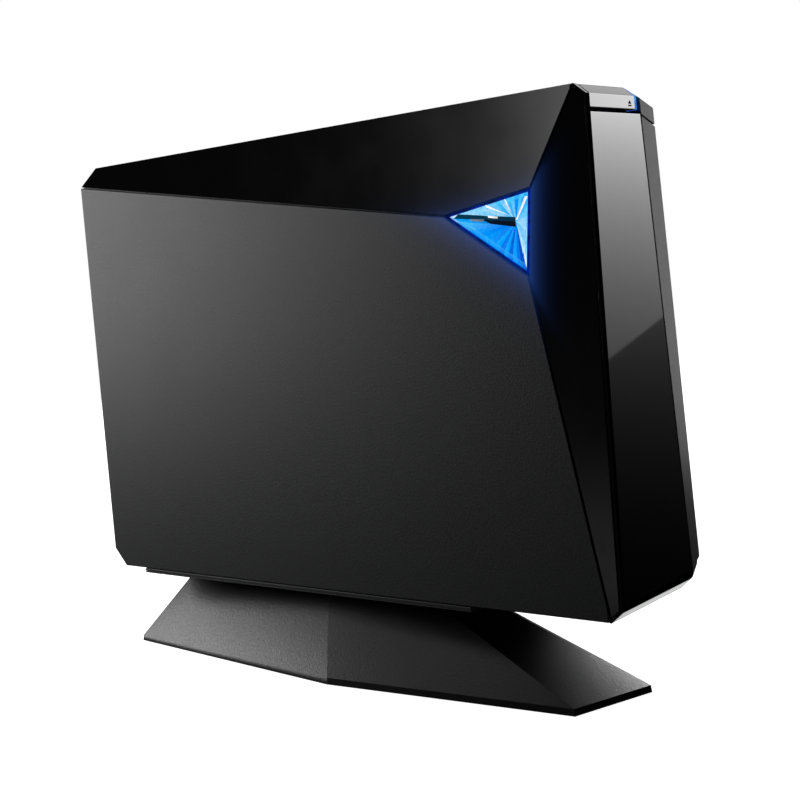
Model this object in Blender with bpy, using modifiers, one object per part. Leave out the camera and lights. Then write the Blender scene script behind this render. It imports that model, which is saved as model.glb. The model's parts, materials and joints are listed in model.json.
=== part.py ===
"""External optical drive: a faceted case on a stand, with its tray, loader and pickup.

Places inside the drive are given in case millimetres: depth from the rear face towards the front,
across from the left side to the right, and height above the case's underside.
"""
import math

import bmesh
import bpy
from mathutils import Matrix, Vector

# ---------------------------------------------------------------- driving dimensions, millimetres
MM = 0.001
DEPTH, WIDTH, HEIGHT = 243.0, 63.0, 165.0     # case
LIFT = 32.1                                   # case underside above the table
GAP = 0.3                                     # between pieces that touch
SKIN, WALL, SHELL_WALL = 1.2, 2.0, 2.2        # side covers; the shell's left and other walls
SEAM = 0.2                                    # half of the groove between two side covers
FAR = 400.0                                   # beyond the object

REAR_TOP = ((0.0, 157.9), (9.8, 165.0))       # chamfers as (depth, height) pairs
REAR_BOTTOM = ((6.3, 0.0), (0.0, 6.9))
FRONT_TOP = ((239.0, 165.0), (243.0, 161.5))
FRONT_BOTTOM = ((243.0, 3.5), (239.0, 0.0))
TOP_FACET_SLOPE, FRONT_FACET_SLOPE = 0.101, 0.149
CRYSTAL = ((187.9, 129.1), (219.7, 107.5), (222.3, 134.9))     # left, bottom and top corners
RIGHT_EDGE_TOP, RIGHT_EDGE_BOTTOM = 36.4, 46.3                 # front face's right edge, across
RIGHT_FACET_SLOPE = 0.365
GROOVE_TOP, GROOVE_BOTTOM = 155.8, 6.0        # grooves above and below the right cover
GROOVE_FALL, GROOVE_HALF = 0.0675, 0.4        # the upper one falls to the right; half their width

SHELL_FRONT = 238.0                           # the shell ends here, the front frame begins
FRAME_LIP = 0.8                               # visible width of the front trim frame
DOOR_LEFT = ((2.4, 5.0), (6.25, 156.1))       # door's left and lower edges as (across, height)
DOOR_BOTTOM = ((2.4, 5.0), (45.4, 6.35))
DOOR_BACK = 240.2
BUTTON_BOTTOM, BUTTON_RIGHT = 157.1, 33.9
LIGHT_STRIP = (34.2, 35.5)

DRIVE_REAR, DRIVE_FRONT = 60.0, 230.0         # standard half-height mechanism
DRIVE_LEFT, DRIVE_RIGHT = 9.5, 50.8
DRIVE_LOW, DRIVE_HIGH = 9.5, 155.5
SHEET = 0.8
DISC_CENTRE = (168.5, 82.5)                   # (depth, height)
DISC_RADIUS = 60.0
TRAY_FACE, TRAY_BACK = 19.0, 25.0             # tray's two faces, across
TRAY_HALF_WIDTH = 64.0
TRAVEL = 135.0
GEAR_MODULE = 1.0

PLATE = (18.0, 186.5)                         # stand's top plate along the depth
PLATE_THICKNESS, PLATE_MARGIN = 1.7, 0.3      # the margin is to the case's sides
MIDDLE = WIDTH / 2
HOOK_REARS, HOOK_LENGTH = (45.0, 140.0), 20.0
STAND_BASE = ((9.5, 2.5), (124.1, -8.4), (221.9, 1.2), (232.5, 31.5),     # (depth, across), round
              (179.0, 64.0), (124.1, 71.4), (9.5, 60.5))
STAND_TOP = ((25.8, 24.9), (55.7, 18.65), (108.9, 12.9), (149.6, 17.6), (154.6, 31.5),
             (133.7, 46.1), (109.5, 49.4), (53.8, 44.1), (25.1, 39.0))
RIM_HEIGHT, PAD_HEIGHT, STAND_WALL = 2.3, 0.4, 2.4
PADS = ((40.0, 14.0), (40.0, 49.0), (196.0, 14.0), (174.0, 46.0))
PAD_RADIUS = 6.0

parts = None
cutters = None


# ---------------------------------------------------------------- scene and materials
def start_scene():
    """Empty the scene and make one collection for the parts and one for the cutters."""
    global parts, cutters
    for old in list(bpy.data.objects):
        bpy.data.objects.remove(old, do_unlink=True)
    parts = bpy.data.collections.new("external_optical_drive")
    cutters = bpy.data.collections.new("cutters")
    for collection in (parts, cutters):
        bpy.context.scene.collection.children.link(collection)


def finish(name, colour, roughness, metallic=0.0):
    """A Principled material."""
    material = bpy.data.materials.new(name)
    material.use_nodes = True
    shader = material.node_tree.nodes["Principled BSDF"]
    shader.inputs["Base Color"].default_value = (*colour, 1.0)
    shader.inputs["Roughness"].default_value = roughness
    shader.inputs["Metallic"].default_value = metallic
    return material


def textured_black(name):
    return finish(name, (0.035, 0.036, 0.037), 0.55)


def gloss_black(name):
    return finish(name, (0.006, 0.006, 0.007), 0.08)


def satin_black(name):
    return finish(name, (0.012, 0.012, 0.013), 0.3)


def inner_plastic(name):
    return finish(name, (0.05, 0.05, 0.055), 0.5)


def white_plastic(name):
    return finish(name, (0.75, 0.75, 0.72), 0.4)


def blue_clear(name):
    return finish(name, (0.03, 0.3, 0.95), 0.05)


def sheet_steel(name):
    return finish(name, (0.62, 0.63, 0.64), 0.3, 1.0)


def bright_steel(name):
    return finish(name, (0.7, 0.71, 0.72), 0.18, 1.0)


def black_rubber(name):
    return finish(name, (0.015, 0.015, 0.015), 0.8)


def board_green(name):
    return finish(name, (0.01, 0.11, 0.05), 0.4)


# ---------------------------------------------------------------- shapes
def world(depth, across, height):
    """A place in case millimetres as a point in the part's frame, in metres."""
    return Vector((depth - DEPTH / 2, across - WIDTH / 2, height + LIFT)) * MM


def add(name, mesh_maker, look=None):
    """Make the mesh and link it: a part when it has a look, otherwise a hidden cutter."""
    mesh = bpy.data.meshes.new(name)
    bm = bmesh.new()
    mesh_maker(bm)
    bmesh.ops.recalc_face_normals(bm, faces=bm.faces)
    bm.to_mesh(mesh)
    bm.free()
    thing = bpy.data.objects.new(name, mesh)
    if look is None:
        cutters.objects.link(thing)
        thing.hide_render = True
        thing.display_type = "WIRE"
    else:
        parts.objects.link(thing)
        mesh.materials.append(look(name + "_finish"))
    return thing


def cube_between(bm, low, high):
    """A box between two corners."""
    low, high = world(*low), world(*high)
    size, middle = high - low, (low + high) / 2
    bmesh.ops.create_cube(bm, size=1.0, matrix=Matrix.LocRotScale(middle, None, size))


def trim(bm, point, outward):
    """Slice a convex solid by a plane, drop what is outside and cap the cut."""
    cut_result = bmesh.ops.bisect_plane(
        bm, geom=bm.verts[:] + bm.edges[:] + bm.faces[:], dist=1e-7,
        plane_co=world(*point), plane_no=Vector(outward), clear_outer=True)
    rim = [item for item in cut_result["geom_cut"] if isinstance(item, bmesh.types.BMEdge)]
    if rim:
        bmesh.ops.edgeloop_fill(bm, edges=rim)


def box(name, low, high, look=None):
    return add(name, lambda bm: cube_between(bm, low, high), look)


def faceted(name, low, high, planes, look=None):
    """A box trimmed by planes, each a (point, outward normal) pair."""
    def make(bm):
        cube_between(bm, low, high)
        for point, outward in planes:
            trim(bm, point, outward)
    return add(name, make, look)


def along(axis):
    """The rotation that takes +Z to the named world axis."""
    return {"x": Matrix.Rotation(math.pi / 2, 4, "Y"),
            "y": Matrix.Rotation(-math.pi / 2, 4, "X"),
            "z": Matrix.Identity(4)}[axis]


def rod(name, start, axis, length, radius, look=None, sides=32, end_radius=None):
    """A cylinder or cone from a start point along +x, +y or +z."""
    tip = radius if end_radius is None else end_radius

    def make(bm):
        turn = along(axis)
        middle = world(*start) + turn.to_3x3() @ Vector((0, 0, length * MM / 2))
        bmesh.ops.create_cone(bm, cap_ends=True, segments=sides, radius1=radius * MM, radius2=tip * MM,
                              depth=length * MM, matrix=Matrix.Translation(middle) @ turn)
    thing = add(name, make, look)
    thing.data.shade_smooth()
    thing.data.set_sharp_from_angle(angle=math.radians(40))
    return thing


def prism(name, outline, start, thickness, look=None):
    """A flat outline of (depth, height) points, thickened along +across from start."""
    def make(bm):
        corners = [bm.verts.new(world(d, start, h)) for d, h in outline]
        face = bm.faces.new(corners)
        grown = bmesh.ops.extrude_face_region(bm, geom=[face])
        moved = [item for item in grown["geom"] if isinstance(item, bmesh.types.BMVert)]
        bmesh.ops.translate(bm, verts=moved, vec=Vector((0, thickness * MM, 0)))
    return add(name, make, look)


def turned(name, profile, centre, look=None, steps=40):
    """A turned piece about an across axis: profile rows are (radius, across)."""
    depth, height = centre
    thing = add(name, lambda bm: None, look)
    bm = bmesh.new()
    points = [bm.verts.new(Vector((r * MM, 0, -a * MM))) for r, a in profile]
    for one, two in zip(points, points[1:]):
        bm.edges.new((one, two))
    bm.to_mesh(thing.data)
    bm.free()
    thing.location = world(depth, 0.0, height)
    thing.rotation_euler = (math.pi / 2, 0, 0)
    screw = thing.modifiers.new("turn", "SCREW")
    screw.steps = screw.render_steps = steps
    screw.use_merge_vertices = True
    screw.merge_threshold = 0.00001
    return thing


def combine(target, *others, operation="DIFFERENCE"):
    """Cut others from target, or join them to it."""
    for number, other in enumerate(others):
        modifier = target.modifiers.new(f"{operation.lower()}_{number}", "BOOLEAN")
        modifier.operation = operation
        modifier.solver = "EXACT"
        modifier.object = other
    return target


def join(target, *others):
    return combine(target, *others, operation="UNION")


def soften(target, width, segments=1):
    """Break the sharp edges."""
    bevel = target.modifiers.new("edges", "BEVEL")
    bevel.width = width * MM
    bevel.segments = segments
    bevel.limit_method = "ANGLE"
    bevel.angle_limit = math.radians(20)
    bevel.use_clamp_overlap = True
    return target


# ---------------------------------------------------------------- the case's outer planes
def side_line(first, second):
    """The plane through two (depth, height) points, parallel to the across axis.

    Its outward side is on the right of the way from first to second, seen from the left side.
    """
    run, rise = second[0] - first[0], second[1] - first[1]
    return (first[0], 0.0, first[1]), (rise, 0.0, -run)


def inset(plane, distance):
    """The same plane moved inwards."""
    point, outward = plane
    step = Vector(outward).normalized() * distance
    return tuple(Vector(point) - step), outward


def flipped(plane):
    point, outward = plane
    return point, tuple(-c for c in outward)


def right_edge(height):
    """The front face's right edge, across, at a height."""
    return RIGHT_EDGE_BOTTOM + (RIGHT_EDGE_TOP - RIGHT_EDGE_BOTTOM) * height / HEIGHT


TOP_FACET_FALL = (REAR_TOP[0][1] - CRYSTAL[0][1]) / CRYSTAL[0][0]
FRONT_FACET_LEAN = (FRONT_BOTTOM[1][0] - CRYSTAL[1][0]) / CRYSTAL[1][1]
RIGHT_EDGE_LEAN = (RIGHT_EDGE_BOTTOM - RIGHT_EDGE_TOP) / HEIGHT

SIDE = ((0, 0, 0), (0, -1, 0))
TOP_FACET = ((0, 0, REAR_TOP[0][1]),
             (TOP_FACET_SLOPE * TOP_FACET_FALL, -1, TOP_FACET_SLOPE))
FRONT_FACET = ((FRONT_BOTTOM[1][0], 0, 0),
               (FRONT_FACET_SLOPE, -1, FRONT_FACET_SLOPE * FRONT_FACET_LEAN))
RIGHT_SIDE = ((0, WIDTH, 0), (0, 1, 0))
RIGHT_FACET = ((DEPTH, RIGHT_EDGE_TOP, HEIGHT),
               (1, RIGHT_FACET_SLOPE, RIGHT_FACET_SLOPE * RIGHT_EDGE_LEAN))
TOP_CORNER = ((233.85, 45.8, HEIGHT), (0.574, 0.246, 0.781))
BOTTOM_CORNER = ((236.5, 49.6, 0), (0.627, 0.326, -0.708))
REAR_TOP_PLANE = side_line(REAR_TOP[1], REAR_TOP[0])
REAR_BOTTOM_PLANE = side_line(REAR_BOTTOM[1], REAR_BOTTOM[0])
FRONT_TOP_PLANE = side_line(FRONT_TOP[1], FRONT_TOP[0])
FRONT_BOTTOM_PLANE = side_line(FRONT_BOTTOM[1], FRONT_BOTTOM[0])
LEFT_PLANES = (SIDE, TOP_FACET, FRONT_FACET)
END_PLANES = (REAR_TOP_PLANE, REAR_BOTTOM_PLANE, FRONT_TOP_PLANE, FRONT_BOTTOM_PLANE)
RIGHT_PLANES = (RIGHT_SIDE, RIGHT_FACET, TOP_CORNER, BOTTOM_CORNER)


def behind_front_edge(shift):
    """The plane beside the front face's right edge, keeping what is on its right."""
    return ((DEPTH, right_edge(0) + shift, 0), (0, -1, -RIGHT_EDGE_LEAN))


def groove_plane(shift):
    """The upper groove's middle plane on the right side, raised by a distance."""
    return (0, RIGHT_EDGE_TOP, GROOVE_TOP + shift), (0, GROOVE_FALL, 1)


def case_solid(name, left, ends, right, low, high, look=None):
    """The case's outer form, each group of planes moved inwards by its own distance."""
    planes = [inset(p, left) for p in LEFT_PLANES]
    planes += [inset(p, ends) for p in END_PLANES]
    planes += [inset(p, right) for p in RIGHT_PLANES]
    return faceted(name, low, high, planes, look)


# ---------------------------------------------------------------- case
def wrap_shell():
    """Left wall, top, bottom and the two right lips, open to the front, the rear and the right."""
    shell = case_solid("wrap_shell", SKIN + GAP, 0, 0, (0, 0, 0), (DEPTH, WIDTH, HEIGHT),
                       textured_black)
    wall_end = SKIN + GAP + WALL
    hollow = case_solid("shell_hollow", wall_end, SHELL_WALL, SHELL_WALL, (-5, 0, SHELL_WALL),
                        (DEPTH - 0.8, WIDTH, HEIGHT - SHELL_WALL))
    rear_mouth = box("shell_rear_mouth", (-5, 3.5, 9.2), (3, 60.8, 155.6))
    frame_zone = faceted("shell_frame_zone", (SHELL_FRONT, -5, -5), (FAR, WIDTH + 5, HEIGHT + 5),
                         [flipped(behind_front_edge(1.25))])
    side_mouth = faceted("shell_side_mouth", (-5, 20, GROOVE_BOTTOM - GROOVE_HALF),
                         (FAR, FAR, HEIGHT), [groove_plane(GROOVE_HALF)])
    light_hole = crystal_prism("shell_light_hole", -0.1, -5, 20)
    combine(shell, hollow, rear_mouth, frame_zone, side_mouth, light_hole)
    for rear in HOOK_REARS:
        narrow = box("hook_slot", (rear - 1.0, MIDDLE - 3.3, -5),
                     (rear + HOOK_LENGTH + 0.5, MIDDLE + 3.3, 5))
        wide = box("hook_entry", (rear - HOOK_LENGTH - 2.1, MIDDLE - 6.6, -5),
                   (rear - 0.8, MIDDLE + 6.6, 5))
        combine(shell, narrow, wide)
    return shell


def crystal_prism(name, shrink, start, stop, look=None, extra=()):
    """A prism over the crystal's triangle, shrunk by a distance on each side."""
    left, bottom, top = CRYSTAL
    edges = [inset(side_line(*pair), shrink) for pair in ((left, bottom), (bottom, top), (top, left))]
    return faceted(name, (170, start, 95), (235, stop, 145), edges + list(extra), look)


def side_cover(name, face, edges, look):
    """One of the three covers of the left side: a plate under one plane, inside its own edges."""
    planes = [face, flipped(inset(face, SKIN))]
    planes += [inset(side_line(first, second), shrink) for first, second, shrink in edges]
    return faceted(name, (0, -2, 0), (DEPTH, 15, HEIGHT), planes, look)


def side_covers():
    left, bottom, top = CRYSTAL
    rear_corner, top_corner = REAR_TOP
    front_low, front_high = FRONT_BOTTOM[1], FRONT_TOP[0]
    cover_end = ((SHELL_FRONT, 0.0), (SHELL_FRONT, HEIGHT), 0)
    soften(side_cover("main_side_panel", SIDE, (
        (front_low, bottom, SEAM), (bottom, left, 0.1), (left, rear_corner, SEAM),
        (REAR_BOTTOM[1], REAR_BOTTOM[0], 0), cover_end), textured_black), 0.25)
    soften(side_cover("top_facet_cover", TOP_FACET, (
        (rear_corner, left, SEAM), (left, top, 0.1), (top, front_high, SEAM),
        (top_corner, rear_corner, 0), cover_end), gloss_black), 0.25)
    lip = FRAME_LIP + GAP
    front_end = ((DEPTH, 0.0), (DEPTH, HEIGHT))
    soften(side_cover("front_facet_cover", FRONT_FACET, (
        (front_high, top, SEAM), (top, bottom, 0.1), (bottom, front_low, SEAM),
        (*FRONT_BOTTOM[::-1], lip), (*front_end, lip), (*FRONT_TOP[::-1], lip)), satin_black), 0.25)


def crystal():
    """A dark blue rim, the cut lens inside it, and the reflector and light board behind."""
    rim_width = 1.2
    rim = crystal_prism("crystal_rim", 0.4, 0, 4.9, blue_clear, [*LEFT_PLANES])
    combine(rim, crystal_prism("crystal_rim_hole", 0.4 + rim_width, -5, 10))
    crystal_prism("crystal_lens", 0.7 + rim_width, 0, 4.9, blue_clear, [*LEFT_PLANES])
    crystal_prism("crystal_reflector", -3.0, 5.6, 6.6, white_plastic)
    box("light_board", (190, 7.0, 103), (228, 8.0, 140), board_green)


def right_cover():
    """The right side with its slanted front, between the two grooves."""
    low, high = (0, 0, GROOVE_BOTTOM + GROOVE_HALF), (DEPTH, WIDTH, HEIGHT)
    edges = [behind_front_edge(1.25), groove_plane(-GROOVE_HALF)]
    cover = faceted("right_cover", low, high, [*RIGHT_PLANES, *edges], textured_black)
    hollow = faceted("right_cover_hollow", (-5, -5, -5), (FAR, FAR, FAR),
                     [inset(RIGHT_SIDE, SHELL_WALL), inset(RIGHT_FACET, SHELL_WALL)])
    combine(cover, hollow)
    for number, (depth, height) in enumerate(((28, 28), (28, 137), (205, 28), (205, 137)), 1):
        combine(cover, rod("foot_recess", (depth, WIDTH - 0.6, height), "y", 5, 6.3))
        soften(rod(f"side_foot_{number}", (depth, WIDTH - 0.3, height), "y", 1.5, 6.0, black_rubber), 0.3)
    return cover


def front_frame():
    """The thin trim frame round the door and the button, with the case's front chamfers."""
    frame = faceted("front_frame", (SHELL_FRONT + GAP, 0, 0), (DEPTH, WIDTH, HEIGHT),
                    [*LEFT_PLANES, *END_PLANES, *RIGHT_PLANES, flipped(behind_front_edge(0.95))],
                    satin_black)
    behind_cover = faceted("frame_cover_zone", (230, -5, -5), (DEPTH - FRAME_LIP, 30, HEIGHT + 5),
                           [flipped(inset(FRONT_FACET, 3.0)),
                            inset(FRONT_TOP_PLANE, FRAME_LIP), inset(FRONT_BOTTOM_PLANE, FRAME_LIP)])
    combine(frame, behind_cover, door_solid("frame_door_hole", 0.45, 230, FAR),
            faceted("frame_button_hole", (230, 0, 150), (FAR, 60, 170),
                    [inset(door_side(-1), -0.4), inset(door_side(1), -0.35)]))
    return frame


def door_side(sign):
    """The door's left (-1) or right (+1) edge as a plane."""
    if sign < 0:
        (low_across, low), (high_across, high) = DOOR_LEFT
        return (0, low_across, low), (0, -(high - low), high_across - low_across)
    return (0, right_edge(0), 0), (0, 1, RIGHT_EDGE_LEAN)


def door_bottom():
    """The door's lower edge as a plane."""
    (left_across, left), (right_across, right) = DOOR_BOTTOM
    return (0, left_across, left), (0, right - left, left_across - right_across)


def door_solid(name, grow, rear, front, look=None):
    """The door's outline, grown on every side."""
    edges = (door_side(-1), door_side(1), door_bottom())
    return faceted(name, (rear, -5, 0), (front, 70, DOOR_LEFT[1][1] + grow),
                   [inset(edge, -grow) for edge in edges], look)


def front_pieces():
    """Door, eject button, light strip, and the switch board behind them."""
    soften(door_solid("tray_door", 0, DOOR_BACK, DEPTH, gloss_black), 0.3)
    button_planes = [inset(door_side(-1), 0.1), FRONT_TOP_PLANE, TOP_CORNER]
    soften(faceted("eject_button", (239.3, 0, BUTTON_BOTTOM), (DEPTH, BUTTON_RIGHT, HEIGHT),
                   button_planes, gloss_black), 0.25)
    soften(faceted("light_strip", (239.3, LIGHT_STRIP[0], BUTTON_BOTTOM),
                   (DEPTH, LIGHT_STRIP[1], HEIGHT), [FRONT_TOP_PLANE, TOP_CORNER], blue_clear), 0.2)
    box("front_board", (233.0, 11.0, 156.8), (234.4, 36.0, 162.4), board_green)
    box("eject_switch", (234.7, 17.0, 157.4), (237.6, 23.0, 161.9), inner_plastic)


# ---------------------------------------------------------------- rear electronics
USB_HEIGHT, DC_HEIGHT, SOCKET_ACROSS = 48.0, 76.0, 33.0


def rear_panel():
    """The socket panel that closes the rear, with a row of vents."""
    panel = box("rear_panel", (0.4, 4.0, 9.6), (2.4, 60.4, 155.2), textured_black)
    combine(panel, box("usb_window", (-5, SOCKET_ACROSS - 6.6, USB_HEIGHT - 7.1),
                       (5, SOCKET_ACROSS + 6.6, USB_HEIGHT + 7.1)),
            rod("dc_window", (-5, SOCKET_ACROSS, DC_HEIGHT), "x", 10, 5.6))
    for row in range(9):
        height = 98.0 + 5.4 * row
        combine(panel, box("vent_slot", (-5, 15, height), (5, 50, height + 2.2)))
    for number, height in enumerate((20.0, 148.5), 1):
        combine(panel, rod("screw_hole", (-5, 12.0, height), "x", 10, 1.8, sides=24),
                rod("screw_seat", (-5, 12.0, height), "x", 6.4, 3.1, sides=32))
        screw = rod(f"rear_screw_{number}", (0.3, 12.0, height), "x", 0.8, 2.7, bright_steel, sides=32)
        join(screw, rod("screw_shank", (1.0, 12.0, height), "x", 5.2, 1.4, sides=20))


def sockets():
    """The bridge board, and the USB and DC sockets that stand on it."""
    board_face, socket_rear, recess = 28.0, 0.7, 1.6
    usb_half, mouth_half, tongue_half = 6.8, 5.3, 3.2
    dc_half, dc_radius, bore_radius, pin_radius = 5.4, 5.2, 2.9, 1.0
    box("bridge_board", (7.0, board_face - 1.6, 20.0), (54.0, board_face, 140.0), board_green)
    usb = box("usb_socket", (socket_rear, board_face + GAP, USB_HEIGHT - usb_half),
              (16.0, SOCKET_ACROSS + 6.3, USB_HEIGHT + usb_half), sheet_steel)
    combine(usb, box("usb_mouth", (-5, board_face + 1.6, USB_HEIGHT - mouth_half),
                     (12, SOCKET_ACROSS + 5.0, USB_HEIGHT + mouth_half)))
    join(usb, box("usb_tongue", (recess, SOCKET_ACROSS - 1.4, USB_HEIGHT - tongue_half),
                  (13.0, SOCKET_ACROSS + 1.4, USB_HEIGHT + tongue_half)))
    dc = rod("dc_socket", (socket_rear, SOCKET_ACROSS, DC_HEIGHT), "x", 6.0, dc_radius, inner_plastic)
    join(dc, box("dc_body", (6.0, board_face + GAP, DC_HEIGHT - dc_half),
                 (15.0, SOCKET_ACROSS + dc_half, DC_HEIGHT + dc_half)))
    combine(dc, rod("dc_bore", (-5, SOCKET_ACROSS, DC_HEIGHT), "x", 14, bore_radius))
    join(dc, rod("dc_pin", (recess, SOCKET_ACROSS, DC_HEIGHT), "x", 9.0, pin_radius, sides=20))


# ---------------------------------------------------------------- mechanism
def drive_covers():
    """The mechanism's two sheet steel covers, and the rails that hold it."""
    top = box("drive_top_cover", (DRIVE_REAR, DRIVE_LEFT, DRIVE_LOW), (DRIVE_FRONT, 30.0, DRIVE_HIGH),
              sheet_steel)
    combine(top, box("top_cover_hollow", (-5, DRIVE_LEFT + SHEET, DRIVE_LOW + SHEET),
                     (FAR, FAR, DRIVE_HIGH - SHEET)))
    bottom = box("drive_bottom_cover", (DRIVE_REAR, 30.4, DRIVE_LOW),
                 (DRIVE_FRONT, DRIVE_RIGHT, DRIVE_HIGH), sheet_steel)
    combine(bottom, box("bottom_cover_hollow", (DRIVE_REAR + SHEET, -5, DRIVE_LOW + SHEET),
                        (FAR, DRIVE_RIGHT - SHEET, DRIVE_HIGH - SHEET)))
    for name, low, high in (("drive_rail_lower", 4.8, DRIVE_LOW - GAP),
                            ("drive_rail_upper", DRIVE_HIGH + GAP, 162.4)):
        rail = box(name, (72, 18.0, low), (205, 46.0, high), inner_plastic)
        combine(rail, box(name + "_relief", (82, 22.0, -FAR), (195, 42.0, FAR)))


def loader_frame():
    """The plastic frame that carries the tray, the clamp bridge, the traverse and the gear deck."""
    d, h = DISC_CENTRE
    low, high = DRIVE_LOW + SHEET + 0.4, DRIVE_HIGH - SHEET - 0.4
    inner_low, inner_high, deck_rear = 19.5, 145.5, 196.0
    frame = box("loader_frame", (62.0, 14.0, low), (229.0, 44.0, high), inner_plastic)
    return combine(
        frame,
        box("loader_opening", (68.0, -5, inner_low), (deck_rear, FAR, inner_high)),
        box("loader_gear_room", (deck_rear - 1, -5, inner_low), (FAR, DECK_FACE, inner_high)),
        box("loader_motor_room", (deck_rear - 1, DECK_BACK, inner_low), (FAR, FAR, inner_high)),
        box("loader_tray_way", (66.0, TRAY_FACE - 0.4, h - TRAY_HALF_WIDTH - 0.4),
            (FAR, TRAY_BACK + 0.4, h + TRAY_HALF_WIDTH + 0.4)),
        box("loader_bridge_seat", (d - 13, -5, low - 1), (d + 13, 16.2, high + 1)))


def involute_outline(teeth, centre, phase, backlash=0.2):
    """A spur gear's outline as (depth, height) points, with flanks computed from the involute."""
    pitch = GEAR_MODULE * teeth / 2
    base = pitch * math.cos(math.radians(20))
    tip, root = pitch + 0.85 * GEAR_MODULE, pitch - 1.15 * GEAR_MODULE
    roll = math.tan(math.radians(20)) - math.radians(20)
    half = math.pi / 2 / teeth - backlash / 2 / pitch / 2
    points = []
    for tooth in range(teeth):
        middle = phase + 2 * math.pi * tooth / teeth
        flank = []
        for step in range(4):
            radius = max(base, root) + (tip - max(base, root)) * step / 3
            pressure = math.acos(min(1.0, base / radius))
            flank.append((radius, half + roll - (math.tan(pressure) - pressure)))
        foot = (root, flank[0][1])
        rising = [foot] + flank
        for radius, spread in rising:
            points.append((radius, middle - spread))
        for radius, spread in reversed(rising):
            points.append((radius, middle + spread))
    return [(centre[0] + r * math.cos(a), centre[1] + r * math.sin(a)) for r, a in points]


RACK_LINE = 137.0                              # height of the rack's pitch line
TRAY_GEAR_TEETH, PULLEY_GEAR_TEETH, PULLEY_PINION_TEETH = 22, 34, 12
GEAR_DEPTH = 219.0


def rack_teeth_outline(start, stop):
    """A straight rack's outline: teeth point down towards the gear's axis."""
    pitch = math.pi * GEAR_MODULE
    slope = math.tan(math.radians(20))
    back = RACK_LINE + 3.4
    points = [(stop, back), (start, back)]
    first = GEAR_DEPTH + pitch / 2
    number = math.ceil((start - first) / pitch)
    while first + number * pitch < stop - pitch / 2:
        middle = first + number * pitch
        number += 1
        if middle < start + pitch / 2:
            continue
        half = pitch / 4 - 0.05
        for side, height in ((-1, 1.15), (-1, -0.85), (1, -0.85), (1, 1.15)):
            reach = half + height * slope
            points.append((middle + side * reach, RACK_LINE + height))
    return points


def tray():
    """The disc tray: recess, spindle window, side runners and the rack under it."""
    d, h = DISC_CENTRE
    low, high = h - TRAY_HALF_WIDTH, h + TRAY_HALF_WIDTH
    body = box("disc_tray", (84.0, TRAY_FACE, low), (231.0, TRAY_BACK, high), inner_plastic)
    runner_width = 8.0
    for number, edge in enumerate((low, high - runner_width)):
        join(body, box(f"tray_runner_{number}", (72.0, TRAY_FACE + 1.0, edge),
                       (90.0, TRAY_BACK, edge + runner_width)))
    join(body, box("tray_nose", (230.0, TRAY_FACE, h - 60), (DOOR_BACK - GAP, TRAY_BACK, h + 58)))
    combine(body, rod("disc_recess", (d, TRAY_FACE - 5, h), "y", 5 + 2.4, DISC_RADIUS + 0.8, sides=72),
            rod("small_recess", (d, TRAY_FACE - 5, h), "y", 5 + 3.2, 41.0, sides=48),
            box("tray_window", (60.0, -5, h - 21), (d, FAR, h + 21)),
            rod("tray_window_end", (d, -5, h), "y", 60, 21.0, sides=40))
    rack = prism("tray_rack", rack_teeth_outline(78.0, 226.0), TRAY_BACK - 0.5, 4.0)
    join(body, rack)
    return body


def clamp():
    """The bridge over the disc and the magnetic puck that turns in it."""
    d, h = DISC_CENTRE
    bridge = box("clamp_bridge", (d - 12.7, 13.9, 11.2), (d + 12.7, 15.4, 153.8), sheet_steel)
    join(bridge, rod("clamp_ring", (d, 13.9, h), "y", 1.5, 19.0, sides=40))
    combine(bridge, rod("clamp_hole", (d, -5, h), "y", 40, 12.4, sides=40))
    turned("clamp_puck", ((0.001, 12.2), (16.0, 12.2), (16.0, 13.5), (11.8, 13.7), (11.8, 17.2),
                          (10.6, 18.3), (8.2, 18.3), (8.2, 16.2), (0.001, 16.2)),
           DISC_CENTRE, white_plastic)


TRAVERSE_FACE = 29.0                           # traverse frame's left face, across
TRAVERSE_BACK = 32.0
TRAVERSE_PIVOT = 80.0                          # its pivot line, along the depth
SLED_REAR, SLED_FRONT = 122.0, 150.0
SLED_TRAVEL = 34.0
ROD_ACROSS, ROD_OFFSET, SCREW_OFFSET = 34.6, 24.0, 30.0
LENS_DEPTH = 144.0


def traverse():
    """The frame that carries the spindle and the pickup, on its pivot and two damper bushes."""
    d, h = DISC_CENTRE
    rear, front = TRAVERSE_PIVOT - 4, d + 20
    frame = box("traverse_frame", (rear, TRAVERSE_FACE, h - 36), (front, TRAVERSE_BACK, h + 36),
                inner_plastic)
    for number, depth in enumerate((SLED_REAR - SLED_TRAVEL - 5, SLED_FRONT + 2.5)):
        for side, offset in (("low", -ROD_OFFSET), ("high", ROD_OFFSET), ("screw", SCREW_OFFSET)):
            join(frame, box(f"rod_block_{side}_{number}", (depth, TRAVERSE_BACK - 1, h + offset - 2.8),
                            (depth + 3, ROD_ACROSS + 2.8, h + offset + 2.8)))
    for offset in (-ROD_OFFSET, ROD_OFFSET, SCREW_OFFSET):
        combine(frame, rod("rod_hole", (rear - 5, ROD_ACROSS, h + offset), "x", 90, 1.7, sides=20))
    combine(frame, box("traverse_window", (SLED_REAR - SLED_TRAVEL - 1.5, -5, h - 19.6),
                       (d - 16.5, 60, h + 19.6)),
            rod("traverse_motor_hole", (d, -5, h), "y", 60, 13.4, sides=40),
            box("sled_motor_notch", (SLED_FRONT + 5.8, -5, h + 23.5), (SLED_FRONT + 24, 60, h + 40)))
    bush_places = ((d + 15, h - 31), (d + 15, h + 31))
    for number, (depth, height) in enumerate(bush_places, 1):
        combine(frame, rod("damper_hole", (depth, -5, height), "y", 60, 3.3, sides=24))
        damper = rod(f"damper_{number}", (depth, TRAVERSE_FACE - 1, height), "y", 5.0, 3.0,
                     black_rubber, sides=24)
        combine(damper, rod("damper_bore", (depth, -5, height), "y", 60, 1.2, sides=16))


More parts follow.
